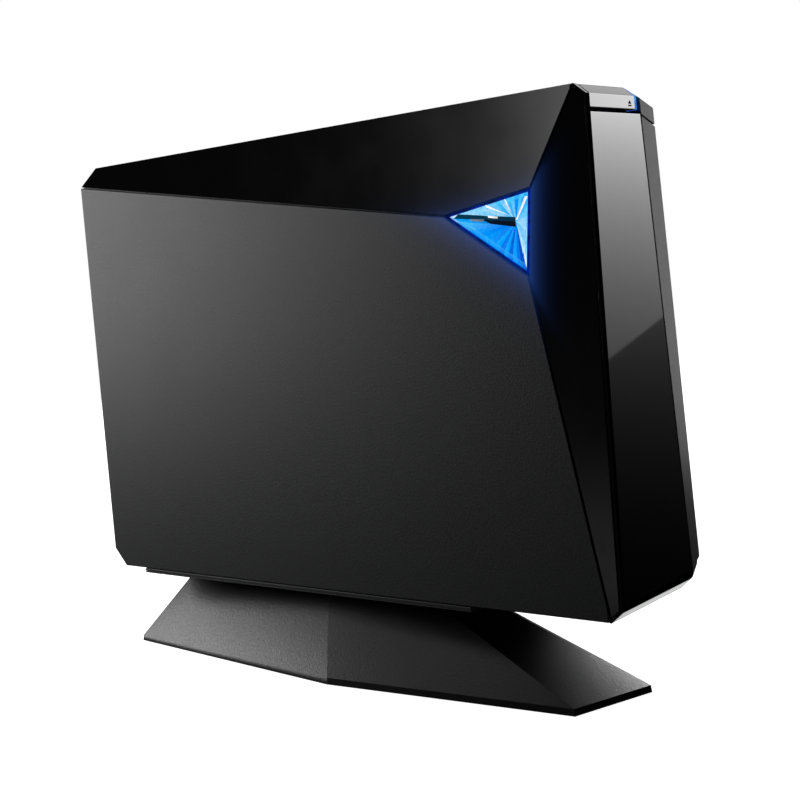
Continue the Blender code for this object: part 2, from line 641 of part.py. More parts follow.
def spindle():
    """The motor's turning can with the turntable, and the fixed base behind it."""
    turned("spindle_rotor", ((0.0, 18.7), (5.0, 18.7), (7.4, 20.4), (15.0, 20.4), (15.0, 22.0),
                             (12.4, 22.4), (12.4, 31.9), (0.0, 31.9)), DISC_CENTRE, bright_steel)
    rod("spindle_base", (DISC_CENTRE[0], TRAVERSE_BACK + GAP, DISC_CENTRE[1]), "y", 1.4, 16.5,
        sheet_steel, sides=40)


def pickup():
    """The sled on its two rods, its lens, and the lead screw with its motor."""
    h = DISC_CENTRE[1]
    sled = box("pickup_sled", (SLED_REAR, 23.5, h - 19.0), (SLED_FRONT, 34.0, h + 19.0), inner_plastic)
    behind = TRAVERSE_BACK + 0.5
    join(sled, box("sled_arms", (SLED_REAR + 1, behind, h - 27.0), (SLED_FRONT - 1, 37.0, h + 27.0)),
         box("sled_nut", (SLED_REAR + 4, behind, h + 25.0), (SLED_REAR + 12, 37.0, h + 33.0)))
    for offset in (-ROD_OFFSET, ROD_OFFSET, SCREW_OFFSET):
        combine(sled, rod("sled_bore", (SLED_REAR - 5, ROD_ACROSS, h + offset), "x", 40, 1.7, sides=20))
    start = SLED_REAR - SLED_TRAVEL - 5
    length = SLED_FRONT + 5.5 - start
    for name, offset in (("guide_rod_lower", -ROD_OFFSET), ("guide_rod_upper", ROD_OFFSET)):
        rod(name, (start, ROD_ACROSS, h + offset), "x", length, 1.5, bright_steel, sides=20)
    rod("lead_screw", (start, ROD_ACROSS, h + SCREW_OFFSET), "x", length, 1.4, bright_steel, sides=20)
    rod("sled_motor", (start + length + GAP + 0.3, ROD_ACROSS, h + SCREW_OFFSET), "x", 15.0, 5.5,
        sheet_steel)
    holder = rod("lens_holder", (LENS_DEPTH, 22.0, h), "y", 0.9, 4.6, inner_plastic, sides=28)
    combine(holder, rod("lens_seat", (LENS_DEPTH, 15, h), "y", 20, 2.4, sides=28))
    lens = ((0.0, 21.5), (1.0, 21.6), (1.7, 21.9), (2.1, 22.3), (2.1, 22.7), (0.0, 22.7))
    turned("objective_lens", lens, (LENS_DEPTH, h), blue_clear, steps=24)


# ---------------------------------------------------------------- loading drive
TRAY_GEAR_CENTRE = (GEAR_DEPTH, RACK_LINE - GEAR_MODULE * TRAY_GEAR_TEETH / 2)
PINION_ANGLE = math.radians(25)                # from straight down, towards the rear
MESH_DISTANCE = GEAR_MODULE * (TRAY_GEAR_TEETH + PULLEY_PINION_TEETH) / 2
PULLEY_CENTRE = (TRAY_GEAR_CENTRE[0] - MESH_DISTANCE * math.sin(PINION_ANGLE),
                 TRAY_GEAR_CENTRE[1] - MESH_DISTANCE * math.cos(PINION_ANGLE))
MOTOR_CENTRE = (214.0, 84.0)
PULLEY_RADIUS, MOTOR_PULLEY_RADIUS = 12.5, 4.0
GEAR_FACE = 25.6                               # the gears' left faces, across
DECK_FACE, DECK_BACK = 33.8, 36.4


def gear(name, teeth, centre, phase, start, thickness, look=None):
    """A spur gear about an across axis."""
    return prism(name, involute_outline(teeth, centre, phase), start, thickness, look)


def loading_gears():
    """The gear that drives the rack, the compound pulley gear, the motor pulley and the belt."""
    up = math.pi / 2
    tray_gear = gear("tray_gear", TRAY_GEAR_TEETH, TRAY_GEAR_CENTRE, up, GEAR_FACE, 3.0, white_plastic)
    combine(tray_gear, axle_bore(TRAY_GEAR_CENTRE))
    towards_pinion = -up - PINION_ANGLE
    tooth_step = 2 * math.pi / TRAY_GEAR_TEETH
    offset = ((towards_pinion - up) / tooth_step) % 1.0
    pinion_phase = towards_pinion + math.pi + (offset + 0.5) * 2 * math.pi / PULLEY_PINION_TEETH
    pulley = rod("pulley_gear", (PULLEY_CENTRE[0], 30.2, PULLEY_CENTRE[1]), "y", 3.0, PULLEY_RADIUS,
                 white_plastic, sides=40)
    join(pulley, gear("pulley_pinion", PULLEY_PINION_TEETH, PULLEY_CENTRE, pinion_phase, GEAR_FACE, 5.0))
    combine(pulley, axle_bore(PULLEY_CENTRE))
    motor_pulley = rod("motor_pulley", (MOTOR_CENTRE[0], 30.2, MOTOR_CENTRE[1]), "y", 3.0,
                       MOTOR_PULLEY_RADIUS, white_plastic, sides=32)
    join(motor_pulley, rod("motor_shaft", (MOTOR_CENTRE[0], 33.0, MOTOR_CENTRE[1]), "y", 3.4, 1.0,
                           sides=16))
    belt = prism("loading_belt", belt_outline(1.2), 30.9, 1.6, black_rubber)
    combine(belt, prism("belt_inside", belt_outline(0.3), 20, 20))
    rod("loading_motor", (MOTOR_CENTRE[0], DECK_BACK + GAP, MOTOR_CENTRE[1]), "y", 9.5, 10.0,
        sheet_steel)


def axle_bore(centre):
    return rod("axle_bore", (centre[0], 10, centre[1]), "y", 40, 1.6, sides=24)


def belt_outline(clearance):
    """The loop round both pulleys, at a distance from them."""
    run = Vector(MOTOR_CENTRE) - Vector(PULLEY_CENTRE)
    heading = math.atan2(run.y, run.x)
    big, small = PULLEY_RADIUS + clearance, MOTOR_PULLEY_RADIUS + clearance
    spread = math.acos((big - small) / run.length)
    points = []
    for centre, radius, first, last in (
            (PULLEY_CENTRE, big, heading + spread, heading + 2 * math.pi - spread),
            (MOTOR_CENTRE, small, heading - spread, heading + spread)):
        for step in range(17):
            angle = first + (last - first) * step / 16
            points.append((centre[0] + radius * math.cos(angle),
                           centre[1] + radius * math.sin(angle)))
    return points


def loader_deck(frame):
    """The gear deck at the loader frame's front, with the two gear axles."""
    for centre in (TRAY_GEAR_CENTRE, PULLEY_CENTRE):
        join(frame, rod("gear_axle", (centre[0], GEAR_FACE, centre[1]), "y",
                        DECK_FACE + 1 - GEAR_FACE, 1.4, sides=24))
    combine(frame, rod("motor_shaft_hole", (MOTOR_CENTRE[0], 25, MOTOR_CENTRE[1]), "y", 30, 1.5,
                       sides=16))


# ---------------------------------------------------------------- stand
def stand_hull(name, levels, look=None):
    """A faceted form: the hull of (outline, height, depth share, across share) levels."""
    def make(bm):
        for outline, height, depth_share, across_share in levels:
            for depth, across in outline:
                bm.verts.new(world(DEPTH / 2 + (depth - DEPTH / 2) * depth_share,
                                   MIDDLE + (across - MIDDLE) * across_share, height))
        hull = bmesh.ops.convex_hull(bm, input=bm.verts)
        inside = [item for item in hull["geom_interior"] if isinstance(item, bmesh.types.BMVert)]
        bmesh.ops.delete(bm, geom=inside, context="VERTS")
        bmesh.ops.dissolve_limit(bm, angle_limit=math.radians(0.5), verts=bm.verts, edges=bm.edges)
    return add(name, make, look)


def stand_base(low, high):
    """The faceted base, open below, and the cover with its pads that closes it."""
    rim = low + RIM_HEIGHT
    base = stand_hull("stand_base", ((STAND_BASE, low, 1.0, 1.0), (STAND_BASE, rim, 0.997, 0.99),
                                     (STAND_TOP, high, 1.0, 1.0)), textured_black)
    inner_shares = (0.975, 0.93)
    combine(base, stand_hull("stand_hollow", ((STAND_BASE, low - 5, *inner_shares),
                                              (STAND_BASE, rim - STAND_WALL, *inner_shares),
                                              (STAND_TOP, high - STAND_WALL, *inner_shares))))
    cover_low, cover_high = low + GAP, low + 1.5
    stand_hull("stand_bottom_cover", ((STAND_BASE, cover_low, 0.93, 0.86),
                                      (STAND_BASE, cover_high, 0.92, 0.85)), inner_plastic)
    for number, (depth, across) in enumerate(PADS, 1):
        rod(f"stand_pad_{number}", (depth, across, -LIFT), "z", PAD_HEIGHT, PAD_RADIUS, black_rubber)
    return base


def stand_plate(top):
    """The plate under the case, with a groove round its edge and two hooks."""
    low, corner = top - PLATE_THICKNESS, 1.6
    plate = faceted("stand_top_plate", (PLATE[0], PLATE_MARGIN, low),
                    (PLATE[1], WIDTH - PLATE_MARGIN, top),
                    [((PLATE[1] - corner, PLATE_MARGIN, 0), (1, -1, 0))], satin_black)
    soften(plate, 0.15)
    groove_high, groove_width, groove_deep = top - 1.0, 0.3, 0.5
    groove = box("plate_groove", (0, -5, groove_high - groove_width), (FAR, FAR, groove_high))
    combine(groove, faceted(
        "plate_core", (PLATE[0] + groove_deep, PLATE_MARGIN + groove_deep, -FAR),
        (PLATE[1] - groove_deep, WIDTH - PLATE_MARGIN - groove_deep, FAR),
        [((PLATE[1] - corner - groove_deep, PLATE_MARGIN, 0), (1, -1, 0))]))
    combine(plate, groove)
    for rear in HOOK_REARS:
        front = rear + HOOK_LENGTH
        join(plate, box("hook_neck", (rear, MIDDLE - 3.0, top - 1), (front, MIDDLE + 3.0, 3.5)),
             box("hook_head", (rear, MIDDLE - 6.0, 2.5), (front, MIDDLE + 6.0, 4.1)))
    return plate


def stand():
    """The stand: base, plate, and the two screws that hold them together from inside."""
    top = -GAP
    high = top - PLATE_THICKNESS - GAP
    base, plate = stand_base(-LIFT + PAD_HEIGHT, high), stand_plate(top)
    head_high, head_thick = high - STAND_WALL - GAP, 2.0
    hole_low, hole_high = head_high - 4.0, top - 0.5
    for number, depth in enumerate((78.0, 120.0), 1):
        for target in (base, plate):
            combine(target, rod("stand_screw_hole", (depth, MIDDLE, hole_low), "z",
                                hole_high - hole_low, 1.8, sides=20))
        screw = rod(f"stand_screw_{number}", (depth, MIDDLE, head_high - head_thick), "z", head_thick,
                    3.0, bright_steel, sides=24)
        join(screw, rod("stand_screw_shank", (depth, MIDDLE, head_high - 0.5), "z",
                        hole_high - GAP - head_high + 0.5, 1.5, sides=20))


def main():
    start_scene()
    wrap_shell()
    side_covers()
    crystal()
    right_cover()
    front_frame()
    front_pieces()
    rear_panel()
    sockets()
    drive_covers()
    loader_deck(loader_frame())
    tray()
    clamp()
    traverse()
    spindle()
    pickup()
    loading_gears()
    box("main_board", (64.0, 47.0, 14.0), (226.0, 48.6, 151.0), board_green)
    stand()


main()
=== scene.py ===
import json
import math

import bmesh
import bpy
from mathutils import Matrix, Vector

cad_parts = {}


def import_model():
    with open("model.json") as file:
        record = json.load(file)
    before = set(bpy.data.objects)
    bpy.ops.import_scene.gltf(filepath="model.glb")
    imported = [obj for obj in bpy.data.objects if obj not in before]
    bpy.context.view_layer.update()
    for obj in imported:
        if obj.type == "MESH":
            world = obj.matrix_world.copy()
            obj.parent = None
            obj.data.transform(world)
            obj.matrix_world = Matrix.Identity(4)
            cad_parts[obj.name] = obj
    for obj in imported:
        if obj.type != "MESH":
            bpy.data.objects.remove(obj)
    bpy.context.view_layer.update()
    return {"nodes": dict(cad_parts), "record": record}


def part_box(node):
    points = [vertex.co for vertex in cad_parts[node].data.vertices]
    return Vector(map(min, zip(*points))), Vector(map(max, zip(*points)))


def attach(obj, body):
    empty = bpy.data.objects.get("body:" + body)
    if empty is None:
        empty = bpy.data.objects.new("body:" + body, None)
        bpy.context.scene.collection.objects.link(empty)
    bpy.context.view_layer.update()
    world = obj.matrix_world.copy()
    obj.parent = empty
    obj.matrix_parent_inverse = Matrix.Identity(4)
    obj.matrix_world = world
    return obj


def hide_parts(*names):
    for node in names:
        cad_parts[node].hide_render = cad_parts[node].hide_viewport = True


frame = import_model()
MM = 0.001

# The case's own coordinates: d from the rear, a from the crystal's side, h above its underside.
CASE_DEPTH = 243 * MM
CASE_WIDTH = 63 * MM
CASE_LIFT = 32.1 * MM

# The crystal's three outer corners and the corner where its three faces meet, as (d, h).
CRYSTAL_LEFT = (187.9, 129.1)
CRYSTAL_LOW = (219.7, 107.5)
CRYSTAL_TOP = (222.3, 134.9)
CRYSTAL_APEX = (216.6, 124.7)

# The slanted faces of the case's left side: where each starts, how fast its edge runs, how far it leans in.
TOP_FACET = (157.9, 0.1533, 0.101)
FRONT_FACET = (239.0, 0.1795, 0.149)

# Screws on the rear panel and under the stand: where they are, and the radius and recess of their heads.
REAR_SCREW_HEIGHTS = (20.0, 148.5)
REAR_SCREW_ACROSS = 12.0
REAR_SCREW_HEAD = 0.3
REAR_SCREW_RADIUS = 2.7
REAR_SCREW_RECESS = 0.45
STAND_SCREW_DEPTHS = (78.0, 120.0)
STAND_SCREW_ACROSS = 31.5
STAND_SCREW_RADIUS = 3.0
STAND_SCREW_RECESS = 1.0

# The lead screw's thread: metres between turns, its root, and how many points go round and along one turn.
THREAD_PITCH = 3 * MM
THREAD_ROOT = 1.05 * MM
THREAD_SIDES = 20
THREAD_STEPS = 8

# The data socket's tongue: its middle as (a, h), how far its contacts are from it, and their half size.
SOCKET_MIDDLE = (33.0, 48.0)
CONTACT_OFFSET = (1.42, 1.2)
CONTACT_HALF = (0.06, 0.5)
CONTACT_RUN = (2.2, 9.0)

# The printed eject mark: the middle of the triangle's foot, half its width, and the heights around it.
MARK_MIDDLE = (30.6, 158.9)
MARK_HALF = 1.1
MARK_TIP = 1.2
MARK_BAR = (-0.75, -0.3)
MARK_DEEP = 0.05
MARK_PROUD = 0.01

# The wedge missing from the shell's upper rear lip, as (a, h), and its thickness along the depth.
LIP_OUTLINE = ((20.0, 155.6), (45.4, 155.6), (20.0, 157.35))
LIP_THICKNESS = 0.8

# How much of the light strip's width is left lit.
STRIP_SHARE = 0.6

# Chips on a board: how far they and their legs stand off, and the legs' spacing, half width and reach.
CHIP_GAP, CHIP_TOP = 0.15, 1.4
LEG_STEP, LEG_HALF, LEG_REACH = 1.3, 0.22, 0.9

# The camera: metres, degrees and millimetres of lens.
CAMERA_PLACE = (0.33538, -0.37865, 0.14813)
CAMERA_TURN = 39.88
CAMERA_DIP = 1.68
CAMERA_ROLL = -5.152
CAMERA_LENS = 60.45
CAMERA_SHIFT = -0.125


def place(d, a, h):
    """A point given in the case's own millimetres, in the row frame."""
    return Vector((d * MM - CASE_DEPTH / 2, a * MM - CASE_WIDTH / 2, h * MM + CASE_LIFT))


# ---------------------------------------------------------------- materials

def material(name):
    """A new material, its node tree and its Principled node."""
    mat = bpy.data.materials.new(name)
    mat.use_nodes = True
    tree = mat.node_tree
    shader = tree.nodes["Principled BSDF"]
    return mat, tree, shader


def add(tree, kind, **values):
    """A new node of this kind, with these attributes."""
    node = tree.nodes.new(kind)
    for key, value in values.items():
        setattr(node, key, value)
    return node


def noise(tree, size, detail=4.0, rough=0.55, stretch=(1, 1, 1)):
    """Noise whose grains are about size metres, fixed to the object."""
    coords = add(tree, "ShaderNodeTexCoord")
    mapping = add(tree, "ShaderNodeMapping")
    mapping.inputs["Scale"].default_value = stretch
    tree.links.new(coords.outputs["Object"], mapping.inputs["Vector"])
    tex = add(tree, "ShaderNodeTexNoise")
    tex.inputs["Scale"].default_value = 1.0 / size
    tex.inputs["Detail"].default_value = detail
    tex.inputs["Roughness"].default_value = rough
    tree.links.new(mapping.outputs["Vector"], tex.inputs["Vector"])
    return tex.outputs["Fac"]


def spread(tree, value, low, high, start=0.3, end=0.7):
    """Maps a 0 to 1 value to low..high."""
    node = add(tree, "ShaderNodeMapRange")
    node.inputs["From Min"].default_value = start
    node.inputs["From Max"].default_value = end
    node.inputs["To Min"].default_value = low
    node.inputs["To Max"].default_value = high
    tree.links.new(value, node.inputs["Value"])
    return node.outputs["Result"]


def math_node(tree, operation, a, b=None, c=None):
    """The result of a Math node; each operand is a number or a socket."""
    node = add(tree, "ShaderNodeMath", operation=operation)
    for socket, value in zip(node.inputs, (a, b, c)):
        if value is None:
            continue
        if isinstance(value, (int, float)):
            socket.default_value = value
        else:
            tree.links.new(value, socket)
    return node.outputs[0]


def bump(tree, shader, height, depth, strength=1.0):
    """Adds a bump to the shader's normal; several chain one after another."""
    node = add(tree, "ShaderNodeBump")
    node.inputs["Strength"].default_value = strength
    node.inputs["Distance"].default_value = depth
    tree.links.new(height, node.inputs["Height"])
    old = shader.inputs["Normal"].links
    if old:
        tree.links.new(old[0].from_socket, node.inputs["Normal"])
    tree.links.new(node.outputs["Normal"], shader.inputs["Normal"])


def tint(tree, shader, value, dark, light):
    """Base colour between two colours by a 0 to 1 value."""
    ramp = add(tree, "ShaderNodeValToRGB")
    ramp.color_ramp.elements[0].color = (*dark, 1)
    ramp.color_ramp.elements[1].color = (*light, 1)
    ramp.color_ramp.elements[0].position = 0.3
    ramp.color_ramp.elements[1].position = 0.7
    tree.links.new(value, ramp.inputs["Fac"])
    tree.links.new(ramp.outputs["Color"], shader.inputs["Base Color"])


def painted_crystal_glow(tree, shader, colour, strength, reach):
    """Painted blue glow: emission in the surface's own material that stands in for the crystal's light
    leaving its rim and fading over the panels around it.
    """
    coords = add(tree, "ShaderNodeTexCoord")
    split = add(tree, "ShaderNodeSeparateXYZ")
    tree.links.new(coords.outputs["Object"], split.inputs["Vector"])
    corners = [CRYSTAL_LEFT, CRYSTAL_LOW, CRYSTAL_TOP]
    worst = None
    for k, (d0, h0) in enumerate(corners):
        d1, h1 = corners[(k + 1) % 3]
        start, end = place(d0, 0, h0), place(d1, 0, h1)
        along = Vector((end.x - start.x, end.z - start.z)).normalized()
        out = Vector((along.y, -along.x))
        offset = out.x * start.x + out.y * start.z
        side = math_node(tree, "MULTIPLY", split.outputs["X"], out.x)
        side = math_node(tree, "MULTIPLY_ADD", split.outputs["Z"], out.y, side)
        side = math_node(tree, "SUBTRACT", side, offset)
        worst = side if worst is None else math_node(tree, "SMOOTH_MAX", worst, side, 2 * MM)
    away = math_node(tree, "MAXIMUM", worst, 0.0)
    fade = math_node(tree, "EXPONENT", math_node(tree, "MULTIPLY", away, -1 / reach))
    in_front = math_node(tree, "LESS_THAN", split.outputs["Y"], -20 * MM)
    tree.links.new(math_node(tree, "MULTIPLY", math_node(tree, "MULTIPLY", fade, strength), in_front),
                   shader.inputs["Emission Strength"])
    shader.inputs["Emission Color"].default_value = (*colour, 1)


# The blue of the painted glow round the crystal.
PAINTED_GLOW_COLOUR = (0.06, 0.22, 1.0)


def textured_plastic(name, colour, rough, grain=0.45 * MM, depth=0.02 * MM, contrast=0.16, glow=None):
    """Moulded plastic with a fine spark-eroded texture; glow is the (strength, reach) of a painted blue glow
    from the crystal.
    """
    mat, tree, shader = material(name)
    fine = noise(tree, grain, 3.0)
    finer = noise(tree, grain * 0.35, 2.0)
    broad = noise(tree, 26 * MM, 3.0)
    dark = tuple(c * (1 - contrast) for c in colour)
    light = tuple(c * (1 + contrast) for c in colour)
    tint(tree, shader, fine, dark, light)
    wear = math_node(tree, "MULTIPLY_ADD", broad, 0.15, math_node(tree, "MULTIPLY", fine, 0.85))
    tree.links.new(spread(tree, wear, rough - 0.04, rough + 0.04), shader.inputs["Roughness"])
    bump(tree, shader, fine, depth, 0.7)
    bump(tree, shader, finer, depth * 0.5, 0.6)
    shader.inputs["Specular IOR Level"].default_value = 0.5
    # A painted blue glow round the crystal, as emission in this plastic.
    if glow:
        painted_crystal_glow(tree, shader, PAINTED_GLOW_COLOUR, *glow)
    return mat


def lacquer(name, colour, rough, dust=0.02, coat=0.6, glow=None, specular=0.5):
    """Glossy black plastic with faint polishing haze, dust and a slow ripple from the mould."""
    mat, tree, shader = material(name)
    haze = noise(tree, 18 * MM, 4.0)
    specks = noise(tree, 0.6 * MM, 1.0)
    ripple = noise(tree, 40 * MM, 1.0)
    tint(tree, shader, specks, tuple(c * 0.85 for c in colour), tuple(c * 1.2 for c in colour))
    tree.links.new(spread(tree, haze, max(rough - dust, 0.005), rough + dust), shader.inputs["Roughness"])
    bump(tree, shader, ripple, 0.01 * MM, 0.1)
    shader.inputs["Coat Weight"].default_value = coat
    shader.inputs["Coat Roughness"].default_value = 0.02
    shader.inputs["Specular IOR Level"].default_value = specular
    # A painted blue glow round the crystal, as emission in this lacquer.
    if glow:
        painted_crystal_glow(tree, shader, PAINTED_GLOW_COLOUR, *glow)
    return mat


def metal(name, colour, rough, stretch=(1, 1, 1), grain=0.5 * MM, spangle=False):
    """Steel: drawn lines along one direction, or zinc spangle."""
    mat, tree, shader = material(name)
    lines = noise(tree, grain, 5.0, 0.6, stretch)
    blotch = noise(tree, 9 * MM, 3.0)
    tint(tree, shader, blotch, tuple(c * 0.88 for c in colour), tuple(min(c * 1.06, 1) for c in colour))
    shader.inputs["Metallic"].default_value = 1.0
    if spangle:
        coords = add(tree, "ShaderNodeTexCoord")
        cells = add(tree, "ShaderNodeTexVoronoi")
        cells.inputs["Scale"].default_value = 1 / (5 * MM)
        tree.links.new(coords.outputs["Object"], cells.inputs["Vector"])
        grey = add(tree, "ShaderNodeRGBToBW")
        tree.links.new(cells.outputs["Color"], grey.inputs["Color"])
        cell_rough = spread(tree, grey.outputs["Val"], rough - 0.08, rough + 0.1)
        tree.links.new(cell_rough, shader.inputs["Roughness"])
    else:
        tree.links.new(spread(tree, lines, rough - 0.06, rough + 0.08), shader.inputs["Roughness"])
    bump(tree, shader, lines, 0.006 * MM, 0.5)
    return mat


def rubber(name):
    """Matt black rubber with an uneven grain."""
    mat, tree, shader = material(name)
    grain = noise(tree, 0.5 * MM, 5.0, 0.65)
    tint(tree, shader, grain, (0.010, 0.010, 0.011), (0.024, 0.024, 0.025))
    tree.links.new(spread(tree, grain, 0.72, 0.9), shader.inputs["Roughness"])
    bump(tree, shader, grain, 0.03 * MM, 0.6)
    return mat


def circuit(name):
    """Green solder mask over copper tracks."""
    mat, tree, shader = material(name)
    coords = add(tree, "ShaderNodeTexCoord")
    bricks = add(tree, "ShaderNodeTexBrick")
    bricks.inputs["Scale"].default_value = 120.0
    bricks.inputs["Mortar Size"].default_value = 0.03
    bricks.inputs["Color1"].default_value = (0.008, 0.10, 0.035, 1)
    bricks.inputs["Color2"].default_value = (0.006, 0.07, 0.025, 1)
    bricks.inputs["Mortar"].default_value = (0.02, 0.19, 0.06, 1)
    swap = add(tree, "ShaderNodeMapping")
    swap.inputs["Rotation"].default_value = (math.radians(90), 0, 0)
    tree.links.new(coords.outputs["Object"], swap.inputs["Vector"])
    tree.links.new(swap.outputs["Vector"], bricks.inputs["Vector"])
    tree.links.new(bricks.outputs["Color"], shader.inputs["Base Color"])
    bump(tree, shader, bricks.outputs["Fac"], 0.03 * MM, 0.5)
    tree.links.new(spread(tree, noise(tree, 2 * MM), 0.25, 0.4), shader.inputs["Roughness"])
    return mat


def lit_plastic(name, deep, bright, strength, size):
    """Translucent blue plastic lit from inside, unevenly."""
    mat, tree, shader = material(name)
    value = noise(tree, size, 2.0)
    ramp = add(tree, "ShaderNodeValToRGB")
    ramp.color_ramp.elements[0].color = (*deep, 1)
    ramp.color_ramp.elements[0].position = 0.35
    ramp.color_ramp.elements[1].color = (*bright, 1)
    ramp.color_ramp.elements[1].position = 0.68
    tree.links.new(value, ramp.inputs["Fac"])
    tree.links.new(ramp.outputs["Color"], shader.inputs["Emission Color"])
    shader.inputs["Emission Strength"].default_value = strength
    shader.inputs["Base Color"].default_value = (0.01, 0.04, 0.2, 1)
    tree.links.new(spread(tree, value, 0.08, 0.16), shader.inputs["Roughness"])
    return mat


def cut_gem(name):
    """The lit core of the crystal: its glow stands for the light of the lamps behind it, and each blade's
    colour, painted highlights and reflections among them, is in the mesh, with a fine grain over it.
    """
    mat, tree, shader = material(name)
    colour = add(tree, "ShaderNodeVertexColor", layer_name="tone")
    grain = spread(tree, noise(tree, 1.1 * MM, 3.0), 0.82, 1.12)
    mix = add(tree, "ShaderNodeVectorMath", operation="SCALE")
    tree.links.new(colour.outputs["Color"], mix.inputs[0])
    tree.links.new(grain, mix.inputs["Scale"])
    tree.links.new(mix.outputs[0], shader.inputs["Emission Color"])
    shader.inputs["Emission Strength"].default_value = 1.15
    shader.inputs["Base Color"].default_value = (0.001, 0.003, 0.01, 1)
    shader.inputs["Specular IOR Level"].default_value = 0.1
    tree.links.new(spread(tree, grain, 0.15, 0.3), shader.inputs["Roughness"])
    return mat


def clear_plastic(name, colour):
    """Clear moulded plastic with a faint ripple."""
    mat, tree, shader = material(name)
    ripple = noise(tree, 3 * MM, 2.0)
    tint(tree, shader, ripple, tuple(c * 0.96 for c in colour), colour)
    shader.inputs["Transmission Weight"].default_value = 1.0
    shader.inputs["IOR"].default_value = 1.45
    tree.links.new(spread(tree, ripple, 0.0, 0.02), shader.inputs["Roughness"])
    bump(tree, shader, ripple, 0.02 * MM, 0.3)
    return mat


LOOKS = {
    # The side panel and both slanted facets carry the painted blue glow round the crystal.
    "panel": textured_plastic("panel_texture", (0.018, 0.019, 0.020), 0.48, 0.75 * MM, 0.08 * MM, 0.35,
                              glow=(0.14, 4 * MM)),
    "shell": textured_plastic("shell_texture", (0.018, 0.019, 0.020), 0.46, 0.75 * MM, 0.08 * MM, 0.35),
    "top_gloss": lacquer("top_facet_gloss", (0.0015, 0.0015, 0.0016), 0.24, 0.03, 0.0,
                         glow=(0.06, 3 * MM)),
    "front_satin": lacquer("front_facet_satin", (0.0015, 0.0015, 0.0015), 0.26, 0.03, 0.0,
                           glow=(0.20, 2.4 * MM)),
    "piano": lacquer("piano_black", (0.0015, 0.0015, 0.0015), 0.03, 0.01, 0.0),
    "frame_black": lacquer("frame_black", (0.002, 0.002, 0.002), 0.12, 0.02, 0.3),
    "plate": textured_plastic("plate_texture", (0.03, 0.031, 0.033), 0.42, 0.5 * MM),
    "stand": textured_plastic("stand_texture", (0.010, 0.010, 0.011), 0.38, 0.8 * MM, 0.08 * MM, 0.3),
    "inner": textured_plastic("inner_texture", (0.05, 0.05, 0.055), 0.5, 0.8 * MM),
    "white": textured_plastic("white_texture", (0.72, 0.72, 0.70), 0.4, 0.9 * MM, 0.01 * MM, 0.04),
    "sheet": metal("zinc_sheet", (0.60, 0.61, 0.62), 0.38, spangle=True),
    "bright": metal("bright_steel", (0.70, 0.71, 0.72), 0.22, (1, 12, 12), 1.5 * MM),
    "rubber": rubber("rubber_grain"),
    "board": circuit("circuit_board"),
    "strip": lit_plastic("strip_light", (0.0, 0.03, 0.5), (0.06, 0.40, 1.0), 0.9, 4 * MM),
    "rim": lit_plastic("rim_light", (0.0, 0.003, 0.06), (0.0, 0.02, 0.36), 0.8, 3 * MM),
    "gem": cut_gem("gem_core"),
    "clear": clear_plastic("clear_lens", (0.94, 0.98, 1.0)),
    "ink": textured_plastic("printed_mark", (0.008, 0.008, 0.008), 0.7, 0.3 * MM),
    "contacts": metal("gold_contacts", (0.86, 0.62, 0.25), 0.25),
}


# ---------------------------------------------------------------- pieces

BODY_OF = {}
for body, members in frame["record"]["behaviour"]["bodies"].items():
    for member in members:
        BODY_OF[member] = body
SHAPES = {}    # the visible shape that stands for each CAD node


def cleaned(node):
    """The CAD node's mesh as a bmesh with its faces welded and its flat faces whole again."""
    bm = bmesh.new()
    bm.from_mesh(frame["nodes"][node].data)
    bmesh.ops.remove_doubles(bm, verts=bm.verts, dist=0.002 * MM)
    bmesh.ops.dissolve_limit(bm, angle_limit=math.radians(0.6), verts=bm.verts, edges=bm.edges)
    for face in bm.faces:
        face.smooth = False
    return bm


def new_object(name, bm, look):
    """An object made of the bmesh, with a material from LOOKS or one of its own."""
    mesh = bpy.data.meshes.new(name)
    bm.to_mesh(mesh)
    bm.free()
    obj = bpy.data.objects.new(name, mesh)
    bpy.context.scene.collection.objects.link(obj)
    mesh.materials.append(LOOKS[look] if isinstance(look, str) else look)
    return obj


def rounded(obj, width, segments=3, angle=28):
    """Small round edges, with the flats kept flat."""
    mod = obj.modifiers.new("edges", "BEVEL")
    mod.width = width
    mod.segments = segments
    mod.limit_method = "ANGLE"
    mod.angle_limit = math.radians(angle)
    mod.use_clamp_overlap = True
    flats = obj.modifiers.new("flats", "WEIGHTED_NORMAL")
    flats.mode = "FACE_AREA"
    flats.weight = 100
    obj.data.shade_smooth()
    return obj


def carry(obj, body):
    """The object moves with this body."""
    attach(obj, body)
    return obj


def refine(node, look, width=0.3 * MM, segments=2, angle=28):
    """Stands for a CAD node with the same mesh, round edges and a real material."""
    obj = new_object(node + "_shape", cleaned(node), look)
    rounded(obj, width, segments, angle)
    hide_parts(node)
    return carry(obj, BODY_OF[node])


def applied(obj, *cutters):
    """obj with its modifiers and the cutters' shapes taken out of it, as plain mesh."""
    for cutter in cutters:
        mod = obj.modifiers.new("cut", "BOOLEAN")
        mod.operation = "DIFFERENCE"
        mod.solver = "EXACT"
        mod.object = cutter
    evaluated = obj.evaluated_get(bpy.context.evaluated_depsgraph_get())
    mesh = bpy.data.meshes.new_from_object(evaluated)
    obj.modifiers.clear()
    obj.data = mesh
    for cutter in cutters:
        bpy.data.objects.remove(cutter, do_unlink=True)
    return obj


def slab(name, outline, start, thickness, look):
    """A flat outline of (across, height) points, thickened along the depth."""
    bm = bmesh.new()
    face = bm.faces.new([bm.verts.new(place(start, a, h)) for a, h in outline])
    grown = bmesh.ops.extrude_face_region(bm, geom=[face])
    moved = [item for item in grown["geom"] if isinstance(item, bmesh.types.BMVert)]
    bmesh.ops.translate(bm, verts=moved, vec=(thickness * MM, 0, 0))
    bmesh.ops.recalc_face_normals(bm, faces=bm.faces)
    return new_object(name, bm, look)


